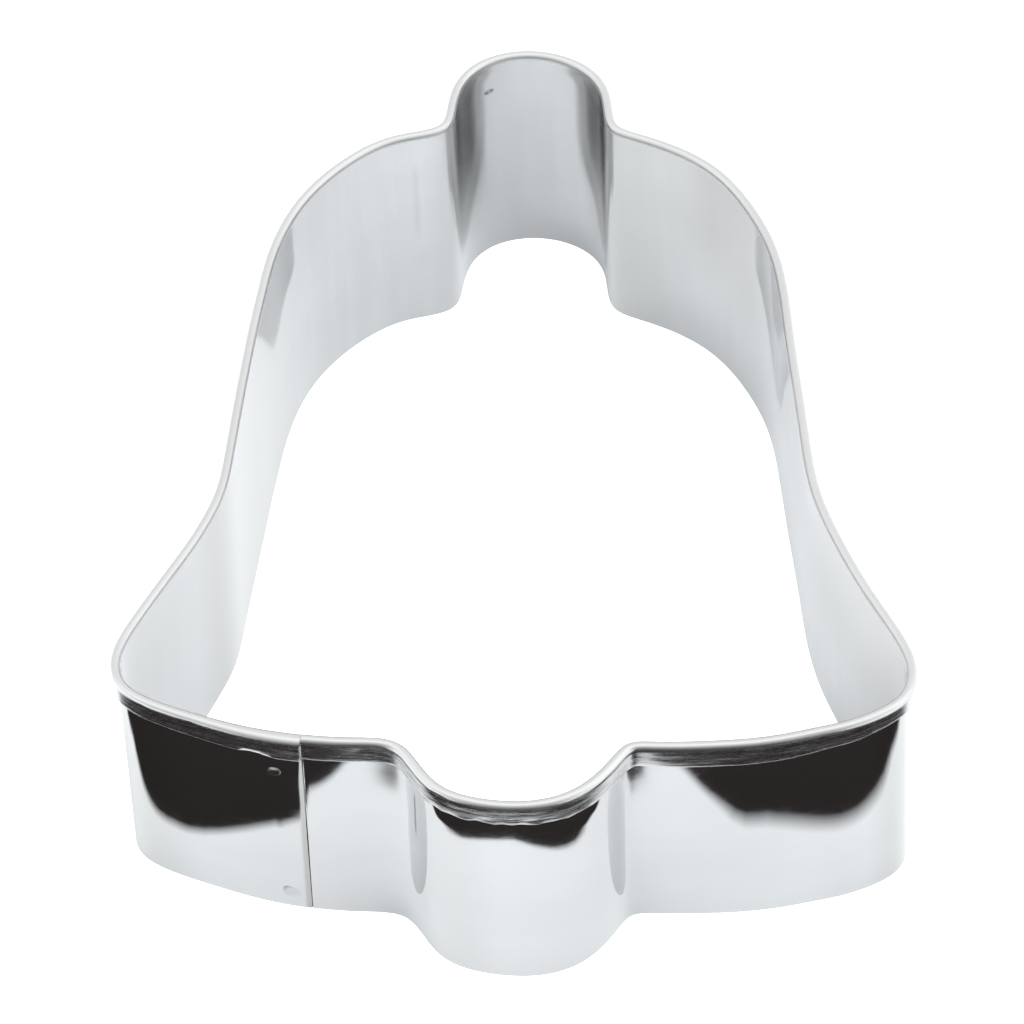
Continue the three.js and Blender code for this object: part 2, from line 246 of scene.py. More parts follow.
prof += [(0.0, z, 0) for z in inner_z]
prof = np.array(prof)
M = len(prof)
PO, PZ, PK = prof[:, 0], prof[:, 1], prof[:, 2].astype(int)
outer_face = np.isin(PK, (2, 4)) | ((PK == 5) & (PO > R))
leaf_side = (PK == 4) | ((PK == 3) & (PO > R))
leaf_front = (PK == 4) | ((PK == 5) & (PO > R + 1e-6))
drop_share = np.select([PK == 5, PK == 4], [0.35 - 0.2 * smooth((PZ - FZ + FOLD_LOW) / FOLD_LOW), 0.35], 1.0)
close_up = 0.085 * smooth((PZ - 22.5) / 0.5)     # the hem is pushed up against the other end
spread_share = np.select([PK == 5, PK == 4, PK == 3], [PO / (2 * R), 1.0, np.clip((PO - T) / (2 * R - 2 * T), 0, 1)], 0.0)


def dish(name, r):
    """Electrode mark: a shallow dish, mm inward."""
    x = r / WELD_R[name]
    return DISH[name] * np.clip(1 - x * x, 0, 1) ** 1.5


def hem_marks(s, z):
    """Fine lengthwise roller ridges on the folded leaf, mm outward."""
    w = 2 * math.pi * s / PERIM
    h = 0.0
    for amp, k, q, ph, c in ((0.0040, 21, 9.0, 0.3, 5), (0.0034, 13, 14.5, 1.9, 9), (0.0026, 34, 22.0, 4.0, 14), (0.0022, 55, 31.0, 2.6, 23)):
        h = h + amp * np.sin(q * z + ph + 1.6 * np.sin(k * w + ph)) * (0.55 + 0.45 * np.sin(c * w + 2 * ph))
    return h


def dent(run, z):
    """Where the wall was twisted or flattened by the bending, mm outward."""
    free = np.clip(1 - run / 4.6, 0, 1) ** 1.6 * 0.042 + 0.010 * (1 - smooth((run - 2.0) / 0.7))
    d = -free * (z - 13.5) * np.exp(-(((z - 13.5) / 5.0) ** 2))
    other = 0.022 * np.clip(1 - (END - START - run) / 3.2, 0, 1) ** 1.3
    d = d + other * (z - 16.8) * np.exp(-(((z - 16.8) / 4.0) ** 2))
    d = d + 0.16 * sum(math.exp(-(((run - c) / 1.3) ** 2)) for c in (93.8, 103.7)) * smooth((z - 7) / 8)
    return d


def dragged(run, z):
    """Where the outside was dragged in under the rim, mm inward."""
    d = 0.0
    for at, before, after, power, start, depth in DRAGGED:
        reach = abs(run - at) / (before if run < at else after)
        d = d + depth * np.exp(-(reach**power)) * np.clip((z - start) / 4.0, 0, 1) ** 2
    return d * np.clip((23.9 - z) / 0.9, 0, 1)


def swollen(run, z):
    """The broader, lower swelling that the same drag leaves on the inside, mm inward."""
    d = 0.0
    for at, before, after, _, start, depth in DRAGGED:
        reach = abs(run - at) / (1.8 * (before if run < at else after))
        d = d + 0.42 * depth * np.exp(-(reach**2)) * smooth((z - start + 7) / 9)
    return d * np.clip((24.7 - z) / 2.4, 0, 1)


def lip_flare(run):
    """How far the leaf's lower edge stands off, mm; it is mostly curled in."""
    a = 2 * math.pi * run
    f = 0.016 + 0.010 * math.sin(a / 12.5 + 0.7) + 0.008 * math.sin(a / 5.1 + 2.2)
    f += forced(run) * (0.02 + 0.03 * math.sin(a / 3.1 + 1.0) + 0.03 * math.sin(a / 1.9 + 0.3))
    return -f * (1 - 0.7 * float(smooth((run - 206) / 2) * (1 - smooth((run - 214) / 2))))


def bent_in(run):
    """A short length of the leaf's lower edge that was bent in, mm."""
    return 0.21 * math.exp(-(((run - 4.05) / 0.8) ** 4)) + 0.10 * math.exp(-(((run - 2.9) / 0.6) ** 4))


def leaf_stand(run):
    """The leaf leans out a little on both sides of the clapper, mm at its lower edge."""
    return float(0.115 * smooth((run - 229) / 2.5) + 0.10 * smooth((run - 188) / 6) * (1 - smooth((run - 203) / 2.5)))


def nick(run, z):
    """Knocks in the folded edge, mm outward."""
    return -sum(deep * np.exp(-(((run - at) / long) ** 2) - ((z - high) / 0.3) ** 2) for at, high, long, deep in NICKS)


def section(run):
    """o and z of the profile at a run from the flap's free edge."""
    o = PO + HEM_OPEN * (1 - smooth(run / HEM_OPEN_RUN)) * spread_share
    z = PZ + np.where(leaf_side, hem_edge(run) * np.clip((FZ - FOLD_LOW - PZ) / (FZ - FOLD_LOW - HZ), 0, 1), 0)
    band = np.clip((PZ - HZ - LIP) / 0.25, 0, 1) * np.clip((FZ + 0.05 - PZ) / 0.3, 0, 1)
    o = o + np.where(leaf_front, hem_marks(run + START, PZ) * band, 0)
    o = o + np.where(leaf_front | leaf_side, leaf_stand(run) * np.clip((FZ - PZ) / (FZ - HZ), 0, 1), 0)
    o = o - np.where(outer_face, edge_drop(run) * drop_share, 0)
    o = o + np.where(PK == 4, lip_flare(run) * np.clip((HZ + 0.6 - PZ) / 0.6, 0, 1) ** 2 - bent_in(run) * np.clip((HZ + 0.62 - PZ) / 0.62, 0, 1) ** 1.2, 0)
    o = o + np.where(np.isin(PK, (0, 2)), dent(run, PZ) * np.clip((24.4 - PZ) / 1.2, 0, 1), 0)
    o = o - np.select([PK == 0, PK == 2], [swollen(run, PZ), dragged(run, PZ)], 0)
    o = o + np.where(leaf_front, nick(run, PZ), 0)
    low = np.clip((FZ - PZ) / (FZ - TONGUE_TOP), 0, 1)
    o = o + np.where(np.isin(PK, (0, 1)) & (PO < T / 2), RELIEF * max(0.0, 1 - run / RELIEF_RUN) * low, 0)
    if run < 12:
        for name, (sw, zw) in WELDS.items():
            r = np.hypot(run + START - sw, PZ - zw)
            o = o - np.where((PK == 2) & (r < 1.9), dish(name, r), 0)
    return o, z


rings = [section(s - START) for s in main]
grid_o, grid_z = np.array([r[0] for r in rings]), np.array([r[1] for r in rings])
verts = wall(main[:, None] - np.exp(-(((main[:, None] - START) / 0.5) ** 2)) * close_up, grid_o, grid_z).reshape(-1, 3)
N = len(main)
faces = []
for i in range(N - 1):
    a, b = i * M, (i + 1) * M
    for j in range(M):
        k = (j + 1) % M
        faces.append((a + j, b + j, b + k, a + k))


def cap(o, z, ids):
    """Triangles that close a cut end."""
    return [tuple(ids[k] for k in f) for f in tessellate_polygon([[Vector((x, y, 0)) for x, y in zip(o, z)]])]


first_inner = next(j for j in range(M) if PK[j] == 0 and abs(PZ[j] - TONGUE_TOP) < 1e-6)
last_outer = next(j for j in range(M) if PK[j] == 2 and abs(PZ[j] - TONGUE_TOP) < 1e-6)
ring_idx = list(range(first_inner, M)) + list(range(last_outer + 1))
rest_idx = list(range(last_outer, first_inner + 1))
far = (N - 1) * M
faces += cap(*rings[0], list(range(M)))
faces += cap(rings[-1][0][rest_idx], rings[-1][1][rest_idx], [far + j for j in rest_idx])
prev = [far + j for j in ring_idx]
tv = []
base = len(verts)
Q = len(ring_idx)
for n, s in enumerate(tongue):
    o = PO[ring_idx] - tongue_step(s)
    for name, (sw, zw) in WELDS.items():
        r = np.hypot(s - PERIM - sw, PZ[ring_idx] - zw)
        o = o + np.where((PK[ring_idx] == 0) & (r < 1.9), 0.6 * dish(name, r), 0)
    tv.append(wall(np.full(Q, s), o, PZ[ring_idx]))
    cur = [base + n * Q + x for x in range(Q)]
    for x in range(Q):
        y = (x + 1) % Q
        faces.append((prev[x], cur[x], cur[y], prev[y]))
    prev = cur
verts = np.concatenate([verts] + tv)
faces += cap(o, PZ[ring_idx], prev)


def closed_mesh(name, verts, faces):
    """Mesh object with its faces turned outward."""
    me = bpy.data.meshes.new(name)
    me.from_pydata(np.asarray(verts).tolist(), [], faces)
    bm = bmesh.new()
    bm.from_mesh(me)
    bmesh.ops.recalc_face_normals(bm, faces=bm.faces[:])
    if bm.calc_volume(signed=True) < 0:
        bmesh.ops.reverse_faces(bm, faces=bm.faces[:])
    bm.to_mesh(me)
    bm.free()
    me.update()
    ob = bpy.data.objects.new(name, me)
    bpy.context.scene.collection.objects.link(ob)
    return ob


strip = closed_mesh("bell_strip_steel", verts, faces)
strip_mesh = strip.data

# coordinates along the strip for the material: s, unrolled height and a hem mask
girth = np.concatenate([[0], np.cumsum(np.hypot(np.diff(PO), np.diff(PZ)))])
att_s = np.concatenate([np.repeat(main, M), np.repeat(tongue, Q)])
att_v = np.concatenate([np.tile(girth, N), np.tile(girth[ring_idx], len(tongue))])
hem_mask = np.where(leaf_front, 1 - smooth((PZ - FZ + 0.15) / 0.3), 0.0)
fold_mask = np.where(PK == 5, np.where(PO < R, 1 + 1.3 * np.clip((R - PO) / R, 0, 1), smooth((PZ - FZ + FOLD_LOW) / FOLD_LOW)), 0.0)
inner_mask = (PK == 0).astype(float)


def put(name, values):
    a = strip_mesh.attributes.new(name, "FLOAT", "POINT")
    a.data.foreach_set("value", np.asarray(values, np.float32))


put("run", att_s - START)
put("rise", att_v)
put("hem", np.concatenate([np.tile(hem_mask, N), np.zeros(len(tongue) * Q)]))
put("fold", np.concatenate([np.tile(fold_mask, N), np.zeros(len(tongue) * Q)]))
put("inside", np.concatenate([np.tile(inner_mask, N), np.tile(inner_mask[ring_idx], len(tongue))]))
put("high", np.concatenate([np.tile(PZ, N), np.tile(PZ[ring_idx], len(tongue))]))
# the hem is scuffed most where it was forced round the clapper and the bends beside it
att_run = att_s - START
put("worn", 0.45 * smooth((att_run - 203) / 6) * (1 - smooth((att_run - 226) / 6)) + 0.55 * smooth((att_run - 212) / 4) * (1 - smooth((att_run - 221) / 3)) + 0.5 * np.exp(-(((att_run - 192) / 5) ** 2)) + 0.35 * np.exp(-(((att_run - 1.5) / 3) ** 2)) + 0.5 * np.exp(-(((att_run - 231) / 3.5) ** 2)))

# duller metal: the tight inside of the knob, and the wall at the two creases beside the clapper
knob = smooth((att_run - 84) / 3) * (1 - smooth((att_run - 111) / 3))
creases = sum(np.exp(-(((att_run - c) / 1.7) ** 2)) for c in (205.4, 231.2))
kind = np.concatenate([np.tile(PK, N), np.tile(PK[ring_idx], len(tongue))])
height = np.concatenate([np.tile(PZ, N), np.tile(PZ[ring_idx], len(tongue))])
# painted shade: the two tight inner sides of the knob are darkened in the base colour, standing in for their dark
# multiple reflections; darker higher up, easing off under the rim
knob_side_shade = 0.9 * smooth((att_run - 87.2) / 2.0) * (1 - smooth((att_run - 92.6) / 1.6)) + smooth((att_run - 103.3) / 1.8) * (1 - smooth((att_run - 109.2) / 2.0))
put("painted_knob_shade", np.where(kind == 0, knob_side_shade * smooth((height - 1) / 19) * (1 - 0.5 * smooth((height - 22.3) / 2)), 0))


def spell(a, b, c, d):
    """1 between b and c along the strip, 0 outside a to d."""
    return smooth((att_run - a) / (b - a)) * (1 - smooth((att_run - c) / (d - c)))


# painted shade and painted light, with some handling film: patches of the walls made darker or lighter in the base
# colour to even out the tone of their reflections, several of them changing with height
up = smooth((height - 4) / 14)
film_and_shade_in = 0.85 * spell(30, 36, 60, 70) + 0.4 * up * spell(4, 12, 26, 36) - 0.22 * spell(72, 77, 84, 87) + 0.4 * spell(108, 111, 115, 120)
film_and_shade_in = film_and_shade_in + 0.85 * up * spell(116, 122, 127, 132) - (0.35 + 0.55 * (1 - up)) * spell(128, 136, 151, 159) + 0.85 * up * spell(155, 163, 178, 190)
film_and_shade_out = 0.65 * spell(9, 15, 22, 30) + 0.6 * spell(172, 178, 183, 186) - 0.25 * (1 - up) * spell(186, 192, 201, 206) + 0.3 * spell(219, 223, 226, 229)
burr = 1.25 * (1 - smooth((att_run - 0.3) / 0.3))  # the sheared edge of the flap is duller
put("film_and_shade", np.select([kind == 0, kind == 2, kind == 4], [film_and_shade_in, film_and_shade_out + burr, burr], 0))
put("dull", np.where(kind == 0, knob, np.where(kind == 2, 1.5 * creases * smooth((height - 16) / 4), 0)))

# smooth everywhere except on the cut ends
strip_mesh.polygons.foreach_set("use_smooth", np.array([len(p.vertices) > 3 for p in strip_mesh.polygons]))


# flat layout of the strip: two long rows, the tongue beside them and the cut ends above
SHEET = 128.0
whole = girth[-1] + math.hypot(PO[0] - PO[-1], PZ[0] - PZ[-1])
half = int(np.searchsorted(main, (START + END) / 2))
uv = strip_mesh.uv_layers.new(name="OFBake")
flat = np.zeros((len(strip_mesh.loops), 2))
place = {j: x for x, j in enumerate(ring_idx)}
t_girth = np.concatenate([[0], np.cumsum(np.hypot(np.diff(PO[ring_idx]), np.diff(PZ[ring_idx])))])
ends = 0
for p in strip_mesh.polygons:
    ids = list(p.vertices)
    if len(ids) == 3:
        on_first, on_tip = max(ids) < M, min(ids) >= base
        for l, v in zip(p.loop_indices, ids):
            j = ring_idx[(v - base) % Q] if on_tip else v % M
            row = 0 if on_first else 2 if on_tip else 1
            flat[l] = (2 + 28 * row + PZ[j], 119.5 + PO[j] * 2)
    elif max(ids) >= base:
        xs = [place[v - far] if v < base else (v - base) % Q for v in ids]
        wrap = max(xs) - min(xs) > Q // 2
        for l, v, x in zip(p.loop_indices, ids, xs):
            s = END if v < base else tongue[(v - base) // Q]
            g = t_girth[-1] + T if wrap and x == 0 else t_girth[x]
            flat[l] = (120.9 + s - END, 2 + g)
    else:
        js = [v % M for v in ids]
        wrap = max(js) - min(js) > M // 2
        row = 0 if max(v // M for v in ids) <= half else 1
        for l, v, j in zip(p.loop_indices, ids, js):
            g = whole if wrap and j == 0 else girth[j]
            flat[l] = (0.6 + main[v // M] - main[half * row], 0.8 + row * (whole + 1.2) + g)
uv.data.foreach_set("uv", (flat / SHEET).astype(np.float32).ravel())


# ---------------------------------------------------------------- node helpers
def new_material(name):
    m = bpy.data.materials.new(name)
    m.use_nodes = True
    t = m.node_tree
    t.nodes.clear()
    return m, t


def node(t, kind, **values):
    n = t.nodes.new(kind)
    for k, v in values.items():
        if k.startswith("in_"):
            key = k[3:]
            n.inputs[int(key) if key.isdigit() else key.replace("_", " ")].default_value = v
        else:
            setattr(n, k, v)
    return n


def attr(t, name):
    return node(t, "ShaderNodeAttribute", attribute_name=name, attribute_type="GEOMETRY").outputs["Fac"]


def math_node(t, op, a, b=None, clamp=False):
    n = t.nodes.new("ShaderNodeMath")
    n.operation = op
    n.use_clamp = clamp
    for k, v in enumerate((a, b)):
        if v is None:
            continue
        if isinstance(v, (int, float)):
            n.inputs[k].default_value = v
        else:
            t.links.new(v, n.inputs[k])
    return n.outputs[0]


def ramp(t, value, lo, hi, out_lo, out_hi):
    n = t.nodes.new("ShaderNodeMapRange")
    n.clamp = True
    t.links.new(value, n.inputs["Value"])
    for key, v in (("From Min", lo), ("From Max", hi), ("To Min", out_lo), ("To Max", out_hi)):
        n.inputs[key].default_value = v
    return n.outputs["Result"]


def noise(t, vector, scale, detail=2.0, rough=0.5):
    n = node(t, "ShaderNodeTexNoise", in_Scale=scale, in_Detail=detail, in_Roughness=rough)
    t.links.new(vector, n.inputs["Vector"])
    return n.outputs["Fac"]


def strip_vector(t, along, across, third=0.0):
    """Coordinates on the unrolled strip, per mm along and across."""
    c = t.nodes.new("ShaderNodeCombineXYZ")
    t.links.new(math_node(t, "MULTIPLY", attr(t, "run"), along), c.inputs[0])
    t.links.new(math_node(t, "MULTIPLY", attr(t, "rise"), across), c.inputs[1])
    c.inputs[2].default_value = third
    return c.outputs[0]


# ---------------------------------------------------------------- bright steel
def bright_steel():
    m, t = new_material("bright_steel_strip")
    out = t.nodes.new("ShaderNodeOutputMaterial")
    b = t.nodes.new("ShaderNodeBsdfPrincipled")
    t.links.new(b.outputs[0], out.inputs[0])
    b.inputs["Metallic"].default_value = 1.0
    hem, fold, inside = attr(t, "hem"), attr(t, "fold"), attr(t, "inside")
    # rolling lines run along the strip; smudges are soft and patchy
    lines = noise(t, strip_vector(t, 0.035, 9.0), 1.0, 3.0, 0.6)
    broad = noise(t, strip_vector(t, 0.06, 0.16, 3.7), 1.0, 3.0, 0.55)
    fine = noise(t, strip_vector(t, 0.9, 1.3, 7.1), 1.0, 4.0, 0.6)
    # the hem carries lengthwise tool scratches that come and go
    scratch = noise(t, strip_vector(t, 0.07, 15.0, 11.0), 1.0, 3.0, 0.6)
    patch = noise(t, strip_vector(t, 0.12, 1.1, 15.0), 1.0, 3.0, 0.6)
    hair = math_node(t, "MULTIPLY", ramp(t, scratch, 0.46, 0.62, 0.0, 1.0), ramp(t, patch, 0.36, 0.60, 0.15, 1.0))
    worn = attr(t, "worn")
    hem_scuff = math_node(t, "MULTIPLY", hem, math_node(t, "MULTIPLY", hair, ramp(t, worn, 0.0, 1.0, 0.75, 1.0)))
    blot = noise(t, strip_vector(t, 0.30, 2.4, 21.0), 1.0, 3.5, 0.62)
    # faint runs up and down the inner wall
    runs = noise(t, strip_vector(t, 0.55, 0.035, 27.0), 1.0, 3.0, 0.6)
    tone = math_node(t, "ADD", ramp(t, broad, 0.35, 0.65, 0.15, 0.85), math_node(t, "MULTIPLY", inside, ramp(t, runs, 0.3, 0.7, -0.5, 0.5)))
    # colour: cool grey metal, a touch darker where it is smudged
    mix = t.nodes.new("ShaderNodeMix")
    mix.data_type = "RGBA"
    mix.inputs["A"].default_value = (0.640, 0.644, 0.647, 1)
    mix.inputs["B"].default_value = (0.670, 0.675, 0.678, 1)
    t.links.new(tone, mix.inputs["Factor"])
    # a film from handling together with painted shade darkens the metal towards this warm grey; where the factor is
    # below zero the colour is pushed lighter than the bare metal, painted light
    filmed_and_shaded = t.nodes.new("ShaderNodeMix")
    filmed_and_shaded.data_type = "RGBA"
    filmed_and_shaded.clamp_factor = False
    t.links.new(attr(t, "film_and_shade"), filmed_and_shaded.inputs["Factor"])
    t.links.new(mix.outputs["Result"], filmed_and_shaded.inputs["A"])
    filmed_and_shaded.inputs["B"].default_value = (0.525, 0.519, 0.508, 1)
    # painted shade on the knob's inner sides, mixed towards dark grey
    knob_shaded = t.nodes.new("ShaderNodeMix")
    knob_shaded.data_type = "RGBA"
    t.links.new(attr(t, "painted_knob_shade"), knob_shaded.inputs["Factor"])
    t.links.new(filmed_and_shaded.outputs["Result"], knob_shaded.inputs["A"])
    knob_shaded.inputs["B"].default_value = (0.371, 0.368, 0.366, 1)
    # one short dark mark inside the knob where it was scuffed
    along, up = math_node(t, "SUBTRACT", attr(t, "run"), 95.0), math_node(t, "SUBTRACT", attr(t, "high"), 21.5)
    up = math_node(t, "ADD", up, math_node(t, "MULTIPLY", along, -0.08))
    spot = math_node(t, "ADD", math_node(t, "POWER", math_node(t, "MULTIPLY", along, 1.9), 2.0), math_node(t, "POWER", math_node(t, "MULTIPLY", up, 2.6), 2.0))
    scuff_and_shade = math_node(t, "MULTIPLY", math_node(t, "MULTIPLY", ramp(t, spot, 0.3, 1.1, 0.9, 0.0), inside), ramp(t, fine, 0.38, 0.52, 0.35, 1.0))
    # and painted shade: a fine dark line along a crease beside the clapper
    off = math_node(t, "ABSOLUTE", math_node(t, "SUBTRACT", attr(t, "run"), 227.85))
    plain_wall = math_node(t, "SUBTRACT", 1.0, math_node(t, "ADD", math_node(t, "ADD", hem, fold), inside), True)
    line = math_node(t, "MULTIPLY", ramp(t, off, 0.05, 0.22, 1.0, 0.0), math_node(t, "MULTIPLY", ramp(t, attr(t, "high"), 14.2, 15.6, 0.0, 1.0), ramp(t, attr(t, "high"), 19.6, 20.6, 1.0, 0.0)))
    scuff_and_shade = math_node(t, "ADD", scuff_and_shade, math_node(t, "MULTIPLY", math_node(t, "MULTIPLY", line, plain_wall), 0.8), True)
    # two scuffs on the hem and a faint streak down the left shoulder
    for at, high, wide, tall in ((223.9, 24.4, 0.75, 0.6), (232.9, 24.5, 1.0, 0.5)):
        sx = math_node(t, "POWER", math_node(t, "DIVIDE", math_node(t, "SUBTRACT", attr(t, "run"), at), wide), 2.0)
        sy = math_node(t, "POWER", math_node(t, "DIVIDE", math_node(t, "SUBTRACT", attr(t, "high"), high), tall), 2.0)
        dab = math_node(t, "MULTIPLY", ramp(t, math_node(t, "ADD", sx, sy), 0.2, 1.0, 0.8, 0.0), ramp(t, fine, 0.36, 0.56, 0.3, 1.0))
        scuff_and_shade = math_node(t, "ADD", scuff_and_shade, math_node(t, "MULTIPLY", dab, hem), True)
    streak = ramp(t, math_node(t, "ABSOLUTE", math_node(t, "SUBTRACT", attr(t, "run"), 83.3)), 0.05, 0.45, 0.10, 0.0)
    streak = math_node(t, "MULTIPLY", streak, math_node(t, "MULTIPLY", ramp(t, attr(t, "high"), 10.5, 14.0, 0.0, 1.0), ramp(t, attr(t, "high"), 20.0, 22.0, 1.0, 0.0)))
    scuff_and_shade = math_node(t, "ADD", scuff_and_shade, math_node(t, "MULTIPLY", streak, inside), True)
    # dark marks: scuffs and a streak, and the crease's painted shade
    mark = t.nodes.new("ShaderNodeMix")
    mark.data_type = "RGBA"
    t.links.new(scuff_and_shade, mark.inputs["Factor"])
    t.links.new(knob_shaded.outputs["Result"], mark.inputs["A"])
    mark.inputs["B"].default_value = (0.10, 0.11, 0.12, 1)
    t.links.new(mark.outputs["Result"], b.inputs["Base Color"])
    # roughness: mirror-bright walls, the fold a little duller, the hem scuffed
    r = math_node(t, "ADD", ramp(t, lines, 0.3, 0.7, 0.035, 0.055), ramp(t, fine, 0.45, 0.75, 0.0, 0.03))
    r = math_node(t, "ADD", r, ramp(t, broad, 0.45, 0.7, 0.0, 0.02))
    r = math_node(t, "ADD", r, math_node(t, "MULTIPLY", fold, ramp(t, patch, 0.3, 0.7, 0.13, 0.19)))
    r = math_node(t, "ADD", r, math_node(t, "MULTIPLY", hem, ramp(t, worn, 0.0, 1.0, 0.08, 0.11)))
    r = math_node(t, "ADD", r, math_node(t, "MULTIPLY", hem, math_node(t, "MULTIPLY", ramp(t, blot, 0.42, 0.66, 0.0, 1.0), ramp(t, worn, 0.0, 1.0, 0.10, 0.20))))
    r = math_node(t, "ADD", r, math_node(t, "MULTIPLY", attr(t, "dull"), 0.14))
    r = math_node(t, "ADD", r, math_node(t, "MULTIPLY", hem_scuff, 0.22))
    t.links.new(r, b.inputs["Roughness"])
    # relief
    h = math_node(t, "ADD", math_node(t, "MULTIPLY", lines, 0.2), math_node(t, "MULTIPLY", math_node(t, "MULTIPLY", scratch, hem), 2.0))
    bump = node(t, "ShaderNodeBump", in_Strength=0.12, in_Distance=0.000012)
    t.links.new(h, bump.inputs["Height"])
    knocks = math_node(t, "MULTIPLY", math_node(t, "MULTIPLY", blot, hem), ramp(t, worn, 0.0, 1.0, 0.45, 1.0))
    uneven = node(t, "ShaderNodeBump", in_Strength=0.7, in_Distance=0.00005)
    t.links.new(knocks, uneven.inputs["Height"])
    t.links.new(bump.outputs[0], uneven.inputs["Normal"])
    t.links.new(uneven.outputs[0], b.inputs["Normal"])
    return m


steel = bright_steel()
strip_mesh.materials.append(steel)
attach(strip, "root")
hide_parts("bell_strip")


# ---------------------------------------------------------------- spot welds
def weld_material():
    m, t = new_material("weld_spot_steel")
    out = t.nodes.new("ShaderNodeOutputMaterial")
    b = t.nodes.new("ShaderNodeBsdfPrincipled")
    t.links.new(b.outputs[0], out.inputs[0])
    b.inputs["Metallic"].default_value = 1.0
    spots = noise(t, node(t, "ShaderNodeTexCoord").outputs["Object"], 2600.0, 4.0, 0.6)
    mix = t.nodes.new("ShaderNodeMix")
    mix.data_type = "RGBA"
    mix.inputs["A"].default_value = (0.60, 0.60, 0.60, 1)
    mix.inputs["B"].default_value = (0.68, 0.68, 0.68, 1)
    t.links.new(ramp(t, spots, 0.35, 0.65, 0.0, 1.0), mix.inputs["Factor"])
    # heat tint and painted shade: a darker crescent on one side of the mark, standing in for the darker reflection in
    # the dish's rim
    burnt_and_shaded = t.nodes.new("ShaderNodeMix")
    burnt_and_shaded.data_type = "RGBA"
    t.links.new(attr(t, "burn_and_shade"), burnt_and_shaded.inputs["Factor"])
    t.links.new(mix.outputs["Result"], burnt_and_shaded.inputs["A"])
    burnt_and_shaded.inputs["B"].default_value = (0.33, 0.33, 0.335, 1)
    t.links.new(burnt_and_shaded.outputs["Result"], b.inputs["Base Color"])
    t.links.new(ramp(t, spots, 0.3, 0.7, 0.10, 0.26), b.inputs["Roughness"])
    bump = node(t, "ShaderNodeBump", in_Strength=0.2, in_Distance=0.00001)
    t.links.new(spots, bump.inputs["Height"])
    t.links.new(bump.outputs[0], b.inputs["Normal"])
    return m


weld_steel = weld_material()
BURN_AND_SHADE = {"upper_spot_weld": 0.35, "lower_spot_weld": 1.0}
for name, (sw, zw) in WELDS.items():
    rr = 0.95 * WELD_R[name]
    SEG = 48
    radii = rr * np.array([0.125, 0.25, 0.375, 0.5, 0.625, 0.75, 0.85, 0.93, 0.985, 1.0, 1.05])
    RINGS = len(radii)
    turn = np.arange(SEG) * 2 * math.pi / SEG
    vs, fs, burn_and_shade = [], [], []
    for layer in (0, 1):
        for k, x in enumerate(radii):
            lift = 0.0035 - 0.0015 * (x / rr) ** 6 if k < RINGS - 1 else -0.02
            o = T - dish(name, x) + (lift if layer == 0 else -0.12)
            vs.append(wall(sw + x * np.cos(turn), np.full(SEG, o), zw + x * np.sin(turn)))
            # heat tint with painted shade: darkest in a crescent on one side of the ring
            ring = math.exp(-(((x / rr - 0.82) / 0.2) ** 2)) * np.clip(np.cos(turn - math.radians(62)), 0, 1) ** 1.3
            burn_and_shade.append(BURN_AND_SHADE[name] * (ring + 0.10))
        vs.append(wall(np.array([sw]), np.array([T - dish(name, 0.0) + (0.0035 if layer == 0 else -0.12)]), np.array([zw])))
        burn_and_shade.append([0.10 * BURN_AND_SHADE[name]])
    block = RINGS * SEG + 1
    for off in (0, block):
        for k in range(SEG):
            j = (k + 1) % SEG
            fs.append((off + RINGS * SEG, off + k, off + j))
            for q in range(RINGS - 1):
                fs.append((off + q * SEG + k, off + (q + 1) * SEG + k, off + (q + 1) * SEG + j, off + q * SEG + j))
    e0 = (RINGS - 1) * SEG
    for k in range(SEG):
        j = (k + 1) % SEG
        fs.append((e0 + k, block + e0 + k, block + e0 + j, e0 + j))
    ob = closed_mesh(name + "_mark", np.concatenate(vs), fs)
    ob.data.polygons.foreach_set("use_smooth", np.ones(len(ob.data.polygons), bool))
    ba = ob.data.attributes.new("burn_and_shade", "FLOAT", "POINT")
    ba.data.foreach_set("value", np.concatenate(burn_and_shade).astype(np.float32))
    ob.data.materials.append(weld_steel)
    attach(ob, "root")
    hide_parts(name)


# ---------------------------------------------------------------- stage
def plain(name, colour, rough=0.9):
    m, t = new_material(name)
    out = t.nodes.new("ShaderNodeOutputMaterial")
    b = t.nodes.new("ShaderNodeBsdfDiffuse")
    b.inputs["Color"].default_value = (*colour, 1)
    b.inputs["Roughness"].default_value = rough
    t.links.new(b.outputs[0], out.inputs[0])
    return m


def stage_mesh(name, verts, faces, material):
    me = bpy.data.meshes.new(name)
    me.from_pydata([tuple(v) for v in verts], [], faces)
    me.update()
    ob = bpy.data.objects.new(name, me)
    bpy.context.scene.collection.objects.link(ob)
    me.materials.append(material)
    return ob


# pale table; the camera sees it burnt out to white, as in a cut-out product picture
floor_mat, ft = new_material("floor_white")
f_out = ft.nodes.new("ShaderNodeOutputMaterial")
f_dif = node(ft, "ShaderNodeBsdfDiffuse", in_Color=(0.880, 0.900, 0.913, 1), in_Roughness=0.9)
f_glow = node(ft, "ShaderNodeEmission", in_Color=(1, 1, 1, 1))
ft.links.new(math_node(ft, "MULTIPLY", node(ft, "ShaderNodeLightPath").outputs["Is Camera Ray"], 0.7), f_glow.inputs["Strength"])
f_add = ft.nodes.new("ShaderNodeAddShader")
ft.links.new(f_dif.outputs[0], f_add.inputs[0])
ft.links.new(f_glow.outputs[0], f_add.inputs[1])
ft.links.new(f_add.outputs[0], f_out.inputs[0])
S = 4.0
floor = stage_mesh("floor", [(-S, -S, 0), (S, -S, 0), (S, S, 0), (-S, S, 0)], [(0, 1, 2, 3)], floor_mat)

